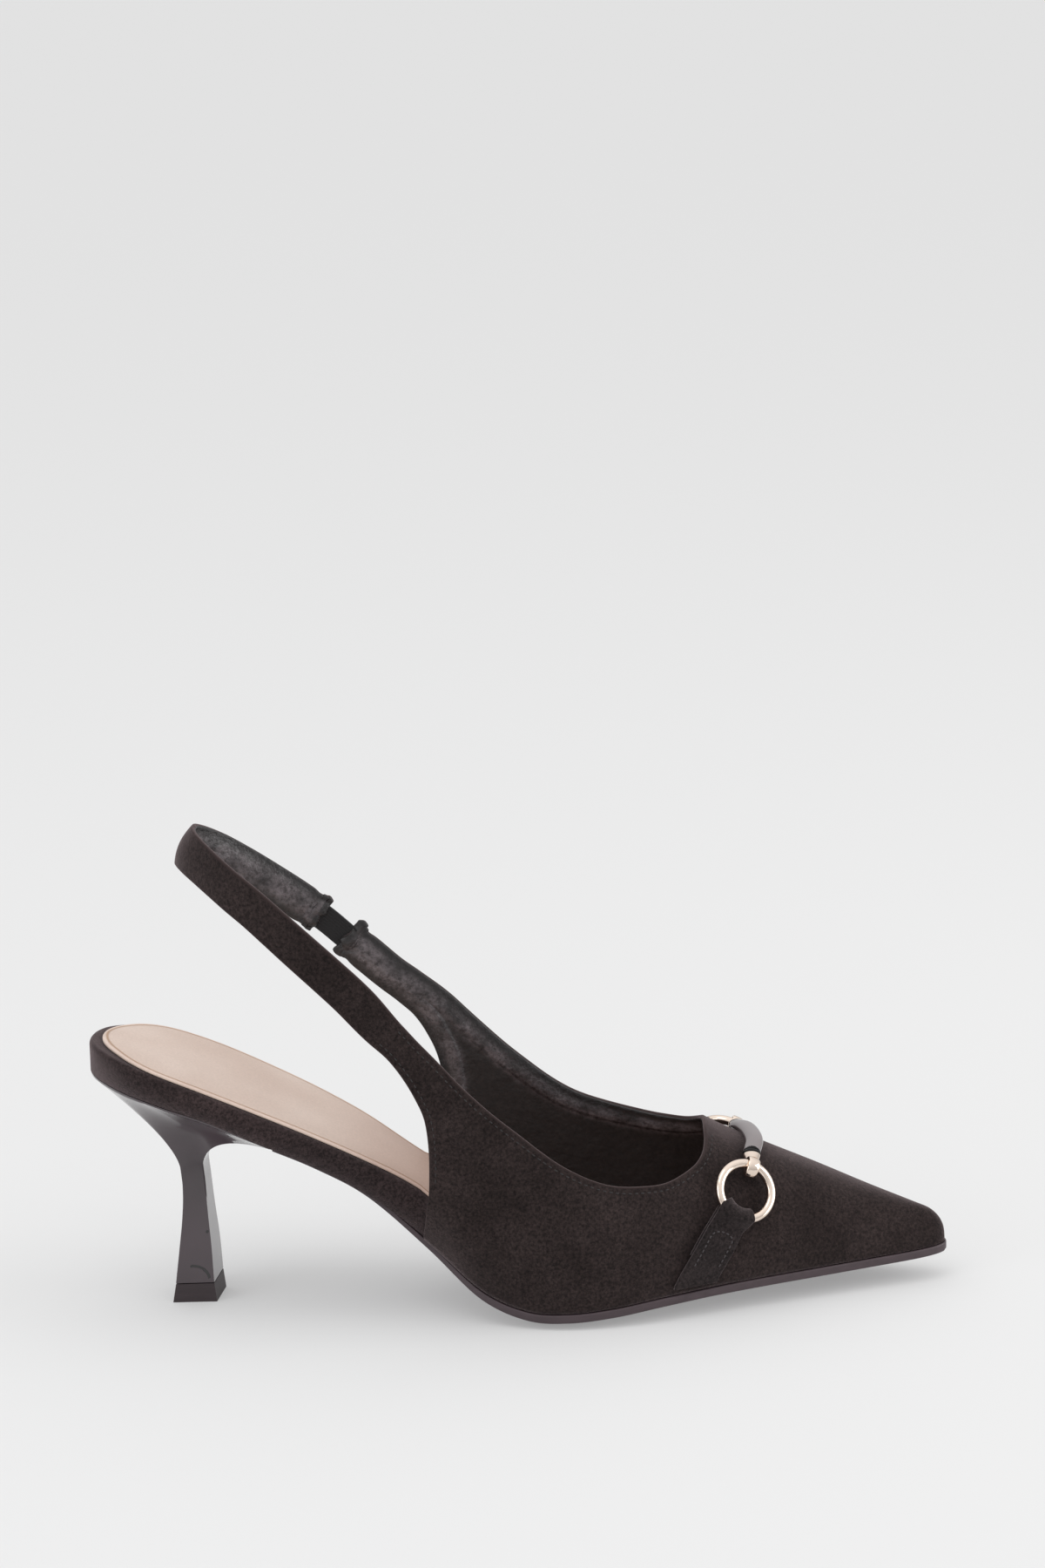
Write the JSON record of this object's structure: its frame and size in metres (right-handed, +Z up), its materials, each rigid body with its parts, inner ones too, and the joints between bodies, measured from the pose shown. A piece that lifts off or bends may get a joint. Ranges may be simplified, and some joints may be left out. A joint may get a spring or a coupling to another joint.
{
  "type": "slingback pump",
  "caption": "Pointed-toe slingback pump for the right foot: dark suede upper with a strap round the heel, slim high heel, and a ring and bar trim across the vamp.",
  "frame": {"origin": "middle of the shoe's bounding box in X and Y, on the floor it stands on", "axes": "+X towards the toe, +Y towards the inner side of the foot, +Z up from the floor"},
  "size_m": [0.2454, 0.0696, 0.1401],
  "materials": {
    "suede": "brown-black suede with a fine nap",
    "footbed_cover": "brown-black suede wrapped round the board",
    "sock_lining": "smooth pinkish nude lining leather",
    "sole": "satin plum-brown",
    "heel_cover": "glossy dark plum-brown",
    "top_piece": "satin dark brown",
    "elastic": "matt black woven elastic",
    "sleeve": "glossy black",
    "gold": "polished pale gold"
  },
  "bodies": {
    "root": {"outsole": "sole", "footbed": "footbed_cover", "sock": "sock_lining", "upper": "suede", "elastic": "elastic", "heel": "heel_cover", "top_piece": "top_piece", "bar_sleeve": "sleeve", "ring_lateral": "gold", "ferrule_lateral": "gold", "keeper_lateral": "suede", "ring_medial": "gold", "ferrule_medial": "gold", "keeper_medial": "suede"}
  },
  "joints": []
}
